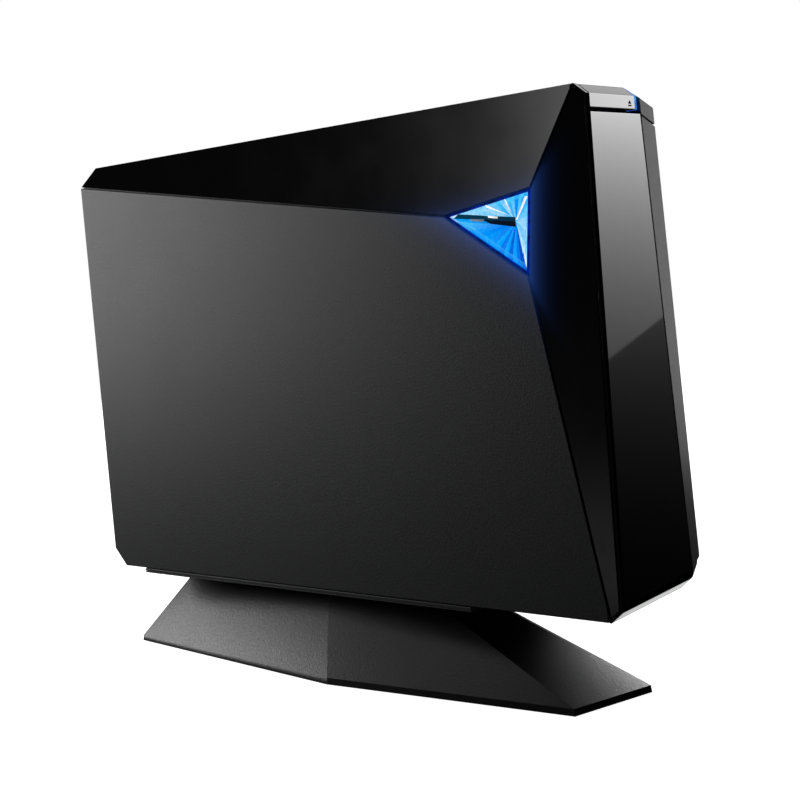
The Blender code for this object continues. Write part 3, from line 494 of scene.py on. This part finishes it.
def block(name, low, high, look):
    """A box between two case points."""
    bm = bmesh.new()
    low, high = place(*low), place(*high)
    bmesh.ops.create_cube(bm, size=1.0, matrix=Matrix.LocRotScale((low + high) / 2, None, high - low))
    return new_object(name, bm, look)


# ---------------------------------------------------------------- crystal

# The crystal's glowing colours; WHITE and GREY also serve as painted glints, INK and TEAL as a painted dark
# reflection.
INK, TEAL, GREY = (0.0, 0.002, 0.008), (0.0, 0.035, 0.07), (0.20, 0.22, 0.26)
DEEP, ROYAL, AZURE = (0.0, 0.07, 0.50), (0.0, 0.17, 0.80), (0.0, 0.34, 0.95)
SKY, ICE, PALE, WHITE = (0.06, 0.50, 0.92), (0.20, 0.56, 0.90), (0.38, 0.70, 0.93), (1.0, 1.0, 1.0)

# Blades of each face: (share of the way along the outer edge, colour at the apex, colour at the edge). White
# at a blade's edge is a painted highlight.
UPPER_BLADES = ((0.0, SKY, WHITE), (0.10, SKY, PALE), (0.36, ICE, PALE), (0.50, SKY, ICE), (0.58, AZURE, SKY),
                (0.64, PALE, ICE), (0.70, AZURE, SKY), (0.77, ICE, SKY), (0.83, ROYAL, AZURE),
                (0.89, SKY, SKY), (0.95, ROYAL, AZURE), (1.0, AZURE, AZURE))
LOWER_BLADES = ((0.0, DEEP, PALE), (0.10, ROYAL, SKY), (0.26, ROYAL, AZURE), (0.42, ROYAL, AZURE),
                (0.56, AZURE, AZURE), (0.64, ROYAL, ROYAL), (0.70, AZURE, AZURE),
                (0.76, DEEP, ROYAL), (0.82, AZURE, AZURE), (0.88, ROYAL, ROYAL),
                (0.94, DEEP, DEEP), (1.0, DEEP, DEEP))
RIGHT_BLADES = ((0.0, SKY, AZURE), (0.14, ICE, SKY), (0.30, PALE, ICE), (0.46, SKY, PALE), (0.60, ICE, ICE),
                (0.74, PALE, PALE), (0.88, SKY, WHITE), (1.0, ICE, ICE))
# The rim's section: how far in from the crystal's outline, and how far under its faces.
RIM_SECTION = ((0.2, 3.0), (0.2, 0.25), (0.4, 0.05), (0.75, 0.05), (0.95, 0.3), (0.95, 3.0))
# Painted internal reflections, bright glints and a dark wedge, as corners measured from the apex in (d, h).
PAINTED_GLINTS = (
    (TEAL, ((-0.2, 0.1), (-24.5, 3.2), (-22.5, 4.5), (-0.2, 1.6))),
    (INK, ((-0.2, -1.5), (-12.5, 0.8), (-14.0, 2.0), (-0.2, 0.2))),
    (AZURE, ((-9.5, 0.2), (-22.0, 2.0), (-24.0, 3.2), (-13.0, 1.9))),
    (GREY, ((-12.6, 1.2), (-17.4, 1.9), (-17.8, 2.5), (-12.2, 2.0))),
    (WHITE, ((-6.9, 1.7), (-10.5, 2.3), (-10.7, 3.0), (-6.9, 2.4))),
    (WHITE, ((-1.3, 1.9), (-11.2, 5.7), (-11.6, 6.5), (-9.5, 5.6))),
    (WHITE, ((-1.0, 2.3), (-3.6, 7.2), (-4.1, 7.7), (-3.9, 6.5))),
    (WHITE, ((0.0, 0.8), (0.5, 0.6), (4.6, 7.6), (3.6, 7.8))),
    (SKY, ((-16.5, -1.6), (-21.5, 1.6), (-21.9, 2.2), (-16.3, -1.2))),
)


def gem_point(d, h, below):
    """A point under the crystal's outer faces."""
    start, fall, lean = TOP_FACET
    top = (h - (start - fall * d)) * lean
    start, fall, lean = FRONT_FACET
    front = (d - (start - fall * h)) * lean
    return place(d, max(0.0, top, front) + below, h)


def shrunk(corners, distance):
    """A triangle's corners with each side moved inwards by a distance."""
    sides = [Vector(corners[(k + 1) % 3]) - Vector(corners[k]) for k in range(3)]
    lengths = [sides[(k + 1) % 3].length for k in range(3)]
    around = sum(lengths)
    centre = sum((Vector(c) * lengths[k] for k, c in enumerate(corners)), Vector((0, 0))) / around
    area = abs(sides[0].cross(sides[1])) / 2
    share = 1 - distance / (2 * area / around)
    return [tuple(centre + (Vector(c) - centre) * share) for c in corners]


def mixed(a, b, share):
    return tuple(p + (q - p) * share for p, q in zip(a, b))


def coloured(bm, layer, corners):
    """One face whose corners are (point, colour) pairs."""
    face = bm.faces.new([bm.verts.new(point) for point, colour in corners])
    for loop, (point, colour) in zip(face.loops, corners):
        loop[layer] = (*colour, 1.0)


def fan(bm, layer, start, end, blades, shade):
    """Blades from the apex to one side, each folded along its middle, with a bevelled border outside."""
    border = 0.84
    for number, ((share, near, far), (stop, near_end, far_end)) in enumerate(zip(blades, blades[1:])):
        lift = 0.25 if number % 2 else 0.75
        ends = [mixed(CRYSTAL_APEX, mixed(start, end, part), border) for part in (share, stop)]
        rim = [mixed(start, end, part) for part in (share, stop)]
        apex = gem_point(*CRYSTAL_APEX, 0.5)
        first, last = (gem_point(*p, 0.5) for p in ends)
        fold = gem_point(*mixed(ends[0], ends[1], 0.5), lift)
        coloured(bm, layer, ((apex, near), (first, far), (fold, mixed(far, near, 0.25))))
        coloured(bm, layer, ((apex, near), (fold, mixed(near, far, 0.6)), (last, mixed(far, near, 0.5))))
        band = mixed(far, shade, 0.55)
        edge = mixed(far, SKY, 0.35)
        coloured(bm, layer, ((first, edge), (gem_point(*rim[0], 0.8), band),
                             (gem_point(*rim[1], 0.8), band), (last, edge)))


def crystal():
    """A navy rim, the clear lens, and the lit core inside the lens."""
    outline = (CRYSTAL_LEFT, CRYSTAL_LOW, CRYSTAL_TOP)
    bm = bmesh.new()
    rings = [[bm.verts.new(gem_point(*corner, below)) for corner in shrunk(outline, inset)]
             for inset, below in RIM_SECTION]
    for one, two in zip(rings, rings[1:] + rings[:1]):
        for k in range(3):
            bm.faces.new((one[k], one[(k + 1) % 3], two[(k + 1) % 3], two[k]))
    bmesh.ops.recalc_face_normals(bm, faces=bm.faces)
    rim = SHAPES["crystal_rim"] = rounded(new_object("crystal_rim_shape", bm, "rim"), 0.12 * MM)
    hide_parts("crystal_rim")
    carry(rim, BODY_OF["crystal_rim"])
    SHAPES["crystal_lens"] = refine("crystal_lens", "clear", 0.12 * MM)
    left, low, top = shrunk(outline, 0.9)
    bm = bmesh.new()
    layer = bm.loops.layers.float_color.new("tone")
    fan(bm, layer, left, top, UPPER_BLADES, SKY)
    fan(bm, layer, left, low, LOWER_BLADES, ROYAL)
    fan(bm, layer, top, low, RIGHT_BLADES, ICE)
    # Each painted reflection lies on the core, darker at its first and last corners.
    for number, (colour, corners) in enumerate(PAINTED_GLINTS):
        dark = mixed(colour, INK, 0.35)
        below = 0.34 - 0.03 * number
        points = [gem_point(CRYSTAL_APEX[0] + d, CRYSTAL_APEX[1] + h, below) for d, h in corners]
        coloured(bm, layer, tuple(zip(points, (dark, colour, colour, dark))))
    core = SHAPES["crystal_core"] = new_object("crystal_core", bm, "gem")
    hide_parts("crystal_lens")
    carry(core, "housing")


# ---------------------------------------------------------------- small details

def cross_screw(node, centre, outward, radius, deep):
    """A pan head screw with a cross recess; outward is the depth axis (-1) or downward (0)."""
    obj = new_object(node + "_shape", cleaned(node), "bright")
    rounded(obj, 0.25 * MM, 3)
    cutters = []
    for k in range(2):
        long, thin = radius * 0.62, radius * 0.15
        half = (long, thin) if k else (thin, long)
        d, a, h = centre
        if outward:
            low, high = (d - 1, a - half[0], h - half[1]), (d + deep, a + half[0], h + half[1])
        else:
            low, high = (d - half[0], a - half[1], h - 1), (d + half[0], a + half[1], h + deep)
        cutters.append(block("cutter", low, high, "bright"))
    applied(obj, *cutters)
    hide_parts(node)
    carry(obj, BODY_OF[node])


def threaded_screw():
    """The lead screw with a real helical thread cut round it."""
    low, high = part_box("lead_screw")
    centre_y, centre_z = (low.y + high.y) / 2, (low.z + high.z) / 2
    outer = (high.y - low.y) / 2
    bm = bmesh.new()
    rings = []
    count = int((high.x - low.x) / THREAD_PITCH * THREAD_STEPS)
    for step in range(count + 1):
        x = low.x + (high.x - low.x) * step / count
        ring = []
        for k in range(THREAD_SIDES):
            angle = 2 * math.pi * k / THREAD_SIDES
            phase = ((x - low.x) / THREAD_PITCH - k / THREAD_SIDES) % 1.0
            crest = min(1.0, max(0.0, 2.2 - abs(phase - 0.5) * 6))
            radius = THREAD_ROOT + (outer - THREAD_ROOT) * crest
            y, z = centre_y + radius * math.cos(angle), centre_z + radius * math.sin(angle)
            ring.append(bm.verts.new((x, y, z)))
        rings.append(ring)
    for one, two in zip(rings, rings[1:]):
        for k in range(THREAD_SIDES):
            after = (k + 1) % THREAD_SIDES
            bm.faces.new((one[k], one[after], two[after], two[k]))
    bm.faces.new(rings[0])
    bm.faces.new(rings[-1])
    bmesh.ops.recalc_face_normals(bm, faces=bm.faces)
    obj = new_object("lead_screw_shape", bm, "bright")
    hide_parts("lead_screw")
    carry(obj, BODY_OF["lead_screw"])


def eject_mark():
    """A plain triangle over a bar, on the button's face."""
    a, h = MARK_MIDDLE
    left, right = a - MARK_HALF, a + MARK_HALF
    low, high = (h + part for part in MARK_BAR)
    for name, outline in (("eject_mark_triangle", ((left, h), (right, h), (a, h + MARK_TIP))),
                          ("eject_mark_bar", ((left, low), (right, low), (right, high), (left, high)))):
        mark = slab(name, outline, CASE_DEPTH / MM - MARK_DEEP, MARK_DEEP, "ink")
        carry(mark, "eject_button")


def rear_lip():
    """Fills the wedge that the CAD's groove leaves in the shell's upper rear lip."""
    lip = slab("wrap_shell_rear_lip", LIP_OUTLINE, 0.0, LIP_THICKNESS, "shell")
    carry(lip, "housing")


def socket_details():
    """Gold contacts on the data socket's tongue."""
    for k in range(4):
        a = SOCKET_MIDDLE[0] + CONTACT_OFFSET[0] * (1 if k % 2 else -1)
        h = SOCKET_MIDDLE[1] + CONTACT_OFFSET[1] * (1 if k < 2 else -1)
        low = (CONTACT_RUN[0], a - CONTACT_HALF[0], h - CONTACT_HALF[1])
        high = (CONTACT_RUN[1], a + CONTACT_HALF[0], h + CONTACT_HALF[1])
        contact = block(f"usb_contact_{k + 1}", low, high, "contacts")
        carry(rounded(contact, 0.04 * MM), "housing")


def board_parts(board, face, side, places):
    """Chips with legs, standing on one face of a board."""
    low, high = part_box(board)
    for number, (share_d, share_h, long, wide) in enumerate(places, 1):
        d = (low.x + (high.x - low.x) * share_d + CASE_DEPTH / 2) / MM
        h = (low.z + (high.z - low.z) * share_h - CASE_LIFT) / MM
        near, far = sorted((face + side * CHIP_GAP, face + side * CHIP_TOP))
        one, two = (d - long / 2, near, h - wide / 2), (d + long / 2, far, h + wide / 2)
        chip = block(f"{board}_chip_{number}", one, two, "ink")
        carry(rounded(chip, 0.15 * MM), "housing")
        bm = bmesh.new()
        legs = int(long / LEG_STEP)
        for k in range(legs):
            for end in (-1, 1):
                x = d - long / 2 + 0.7 + LEG_STEP * k
                tip = h + end * (wide / 2 + LEG_REACH)
                one = place(x - LEG_HALF, face + side * 0.02, tip)
                two = place(x + LEG_HALF, face + side * 0.4, h + end * wide / 2)
                size = Vector(abs(c) for c in (two - one))
                bmesh.ops.create_cube(bm, size=1.0, matrix=Matrix.LocRotScale((one + two) / 2, None, size))
        carry(new_object(f"{board}_legs_{number}", bm, "bright"), "housing")


# The look of each node, and how wide its rounded edges are in millimetres.
WIDTHS = {
    "main_side_panel": ("panel", 0.35), "wrap_shell": ("shell", 0.35), "right_cover": ("shell", 0.35),
    "rear_panel": ("shell", 0.2), "top_facet_cover": ("top_gloss", 0.3),
    "front_facet_cover": ("front_satin", 0.3), "front_frame": ("frame_black", 0.12),
    "tray_door": ("piano", 0.25), "eject_button": ("piano", 0.2),
    "light_strip": ("strip", 0.15), "stand_base": ("stand", 0.5), "stand_top_plate": ("plate", 0.12),
    "stand_bottom_cover": ("inner", 0.3), "disc_tray": ("inner", 0.25), "loader_frame": ("inner", 0.3),
    "drive_top_cover": ("sheet", 0.2), "drive_bottom_cover": ("sheet", 0.2), "clamp_bridge": ("sheet", 0.2),
    "usb_socket": ("sheet", 0.12), "dc_socket": ("inner", 0.15), "drive_rail_lower": ("inner", 0.4),
    "drive_rail_upper": ("inner", 0.4), "pickup_sled": ("inner", 0.25), "traverse_frame": ("inner", 0.25),
    "lens_holder": ("inner", 0.12), "eject_switch": ("inner", 0.2), "clamp_puck": ("white", 0.2),
    "tray_gear": ("white", 0.08), "pulley_gear": ("white", 0.08), "motor_pulley": ("white", 0.15),
    "crystal_reflector": ("white", 0.2), "spindle_rotor": ("bright", 0.2), "loading_motor": ("sheet", 0.5),
    "sled_motor": ("sheet", 0.4), "spindle_base": ("sheet", 0.2), "bridge_board": ("board", 0.1),
    "main_board": ("board", 0.1), "light_board": ("board", 0.1), "front_board": ("board", 0.1),
    "guide_rod_lower": ("bright", 0.3), "guide_rod_upper": ("bright", 0.3), "objective_lens": ("clear", 0.05),
    "damper_1": ("rubber", 0.3), "damper_2": ("rubber", 0.3), "loading_belt": ("rubber", 0.1),
}
for node, (look, width) in WIDTHS.items():
    SHAPES[node] = refine(node, look, width * MM)
for k in range(1, 5):
    SHAPES[f"side_foot_{k}"] = refine(f"side_foot_{k}", "rubber", 0.3 * MM)
    SHAPES[f"stand_pad_{k}"] = refine(f"stand_pad_{k}", "rubber", 0.12 * MM)

button = SHAPES["eject_button"].data
face = max(vertex.co.x for vertex in button.vertices)
for vertex in button.vertices:
    if vertex.co.x > face - MARK_PROUD * MM / 2:
        vertex.co.x = face - MARK_PROUD * MM    # the printed mark stands this far proud of the button

strip = SHAPES["light_strip"].data
edge = min(vertex.co.y for vertex in strip.vertices)
for vertex in strip.vertices:
    vertex.co.y = edge + (vertex.co.y - edge) * STRIP_SHARE

crystal()
for number, height in enumerate(REAR_SCREW_HEIGHTS, 1):
    head = (REAR_SCREW_HEAD, REAR_SCREW_ACROSS, height)
    cross_screw(f"rear_screw_{number}", head, 1, REAR_SCREW_RADIUS, REAR_SCREW_RECESS)
for number, depth in enumerate(STAND_SCREW_DEPTHS, 1):
    low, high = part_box(f"stand_screw_{number}")
    head = (depth, STAND_SCREW_ACROSS, (low.z - CASE_LIFT) / MM)
    cross_screw(f"stand_screw_{number}", head, 0, STAND_SCREW_RADIUS, STAND_SCREW_RECESS)
threaded_screw()
eject_mark()
rear_lip()
socket_details()
board_parts("bridge_board", 28.0, 1, ((0.45, 0.72, 12, 8), (0.8, 0.45, 7, 5)))
board_parts("main_board", 47.0, -1, ((0.3, 0.5, 16, 14), (0.55, 0.7, 10, 6), (0.7, 0.3, 8, 6)))


# ---------------------------------------------------------------- floor, light and camera

def floor():
    """A plain white floor, left out of reflections and bounced light."""
    bm = bmesh.new()
    bmesh.ops.create_circle(bm, cap_ends=True, segments=96, radius=6.0)
    mat, tree, shader = material("floor_paper")
    shader.inputs["Base Color"].default_value = (0.8, 0.8, 0.8, 1)
    shader.inputs["Roughness"].default_value = 0.9
    shader.inputs["Emission Color"].default_value = (1, 1, 1, 1)
    shader.inputs["Emission Strength"].default_value = 1.0
    obj = new_object("floor", bm, mat)
    obj.location.z = -0.0002
    obj.visible_glossy = False
    obj.visible_diffuse = False
    return obj


def area_light(name, place_at, look_at, size, power, size_y=None):
    """A rectangular soft light that the camera does not see."""
    light = bpy.data.lights.new(name, "AREA")
    light.shape = "RECTANGLE"
    light.size = size
    light.size_y = size_y or size
    light.energy = power
    obj = bpy.data.objects.new(name, light)
    bpy.context.scene.collection.objects.link(obj)
    obj.location = place_at
    obj.rotation_euler = (Vector(look_at) - Vector(place_at)).to_track_quat("-Z", "Y").to_euler()
    obj.visible_camera = False
    return obj


def world():
    """White behind the object for the camera, and nearly black for everything else."""
    w = bpy.data.worlds.new("studio")
    bpy.context.scene.world = w
    w.use_nodes = True
    tree = w.node_tree
    tree.nodes.clear()
    out = add(tree, "ShaderNodeOutputWorld")
    seen = add(tree, "ShaderNodeBackground")
    seen.inputs["Color"].default_value = (1, 1, 1, 1)
    unseen = add(tree, "ShaderNodeBackground")
    unseen.inputs["Color"].default_value = (1, 1, 1, 1)
    unseen.inputs["Strength"].default_value = 0.02
    path = add(tree, "ShaderNodeLightPath")
    mix = add(tree, "ShaderNodeMixShader")
    tree.links.new(path.outputs["Is Camera Ray"], mix.inputs["Fac"])
    tree.links.new(unseen.outputs[0], mix.inputs[1])
    tree.links.new(seen.outputs[0], mix.inputs[2])
    tree.links.new(mix.outputs[0], out.inputs["Surface"])


def camera():
    """The photograph's own camera: place, angles, roll and a vertical shift."""
    cam = bpy.data.cameras.new("camera")
    cam.lens = CAMERA_LENS
    cam.sensor_width = 36
    cam.shift_y = CAMERA_SHIFT
    obj = bpy.data.objects.new("camera", cam)
    bpy.context.scene.collection.objects.link(obj)
    turn = Matrix.Rotation(math.radians(CAMERA_TURN), 4, "Z")
    dip = Matrix.Rotation(math.radians(90 - CAMERA_DIP), 4, "X")
    roll = Matrix.Rotation(math.radians(CAMERA_ROLL), 4, "Z")
    obj.matrix_world = Matrix.Translation(CAMERA_PLACE) @ turn @ dip @ roll
    bpy.context.scene.camera = obj


def linked(light, nodes, state="INCLUDE"):
    """The light falls on the shapes of these nodes alone, or on everything but them."""
    group = bpy.data.collections.new(light.name + "_receivers")
    for node in nodes:
        group.objects.link(SHAPES[node])
    for item in group.collection_objects:
        item.light_linking.link_state = state
    light.light_linking.receiver_collection = group
    return light


# The door mirrors the camera towards this direction, and its cards stand across it.
DOOR_MIDDLE = (0.1215, -0.01)
DOOR_MIRRORS = Vector((0.508, 0.877, 0))
CARD_ACROSS = (0.865, -0.501)
CARD_HALF = 0.36


def mirrored_card(name, back, slant, low, high, rise, base, peak):
    """A card that the door mirrors.

    It stands back metres from the door, from low to high, and its lower edge falls by slant per metre.
    Its light is exp(rise * height + base), and never more than peak.
    """
    middle = Vector((*DOOR_MIDDLE, low)) + DOOR_MIRRORS * back
    run = Vector((*CARD_ACROSS, -slant))
    left, right = middle - run * CARD_HALF, middle + run * CARD_HALF
    corners = (left, right, Vector((right.x, right.y, high)), Vector((left.x, left.y, high)))
    bm = bmesh.new()
    bm.faces.new([bm.verts.new(c) for c in corners])
    mat = bpy.data.materials.new(name)
    mat.use_nodes = True
    tree = mat.node_tree
    tree.nodes.clear()
    out = add(tree, "ShaderNodeOutputMaterial")
    glow = add(tree, "ShaderNodeEmission")
    coords = add(tree, "ShaderNodeTexCoord")
    split = add(tree, "ShaderNodeSeparateXYZ")
    tree.links.new(coords.outputs["Object"], split.inputs["Vector"])
    level = math_node(tree, "MULTIPLY_ADD", split.outputs["Z"], rise, base)
    level = math_node(tree, "MINIMUM", math_node(tree, "EXPONENT", level), peak)
    tree.links.new(level, glow.inputs["Strength"])
    tree.links.new(glow.outputs[0], out.inputs["Surface"])
    obj = new_object(name, bm, mat)
    obj.visible_camera = False
    obj.visible_diffuse = False
    return obj


# The nodes that some of the lights are kept to, or kept off.
DOOR = ("tray_door", "eject_button")
FRAME = ("front_frame",)
FACETS = ("top_facet_cover", "front_facet_cover")
CRYSTAL = ("crystal_rim", "crystal_lens", "crystal_core")
STAND = ("stand_base",)
SHELL = ("wrap_shell", "right_cover")

floor()
world()
camera()
bpy.context.scene.view_settings.view_transform = "Standard"
linked(mirrored_card("bright_card", 1.0, 0.64, 0.044, 0.95, 8.8, -0.62, 7.0), DOOR)
linked(mirrored_card("dim_card", 1.05, 0.0, -0.45, 0.3, 12.0, -1.85, 0.4), DOOR)
middle = Vector((0, 0, 0.12))
# Each light: name, where it is, where it aims, its width, its power and, if it isn't square, its height.
linked(area_light("key", (-0.53, -0.32, 0.24), (-0.08, -0.03, 0.13), 0.18, 1.75, 0.34),
       FACETS + DOOR + CRYSTAL + STAND, "EXCLUDE")
linked(area_light("stand_left", (-0.46, -0.19, 0.17), (-0.05, -0.03, 0.01), 0.16, 0.75), STAND)
linked(area_light("stand_high", (-0.27, -0.25, 0.50), (0.0, -0.03, 0.01), 0.2, 0.15), STAND)
linked(area_light("stand_nose", (0.06, 0.23, 0.17), (0.107, 0.0, 0.005), 0.14, 0.85), STAND)
linked(area_light("facet_top", (-0.12, -0.60, 0.36), (0.1, -0.03, 0.19), 0.2, 0.6), FACETS[:1])
linked(area_light("facet_low", (0.04, -0.30, 0.002), (0.04, -0.30, 0.5), 0.26, 0.11, 0.26), FACETS[1:])
linked(area_light("edge", (-0.05, 0.8, 0.22), (0.11, 0.0, 0.14), 0.35, 0.85, 0.55), SHELL)
linked(area_light("chamfer_low", (0.07, 0.07, 0.0005), (0.07, 0.07, 0.5), 0.10, 0.03), FRAME + SHELL)
linked(area_light("chamfer_high", (0.02, 0.42, 0.44), (0.12, 0.0, 0.195), 0.3, 0.26, 0.2),
       FRAME + DOOR[1:] + ("light_strip",))
linked(area_light("above", (-0.1, 0.15, 0.9), middle, 0.5, 2.5), STAND + ("stand_top_plate",), "EXCLUDE")
linked(area_light("right_side", (0.9, 1.1, 0.6), middle, 0.6, 4.0),
       DOOR + FRAME + STAND + ("stand_top_plate",), "EXCLUDE")
area_light("behind", (-0.9, 0.75, 0.5), middle, 0.6, 5.0)
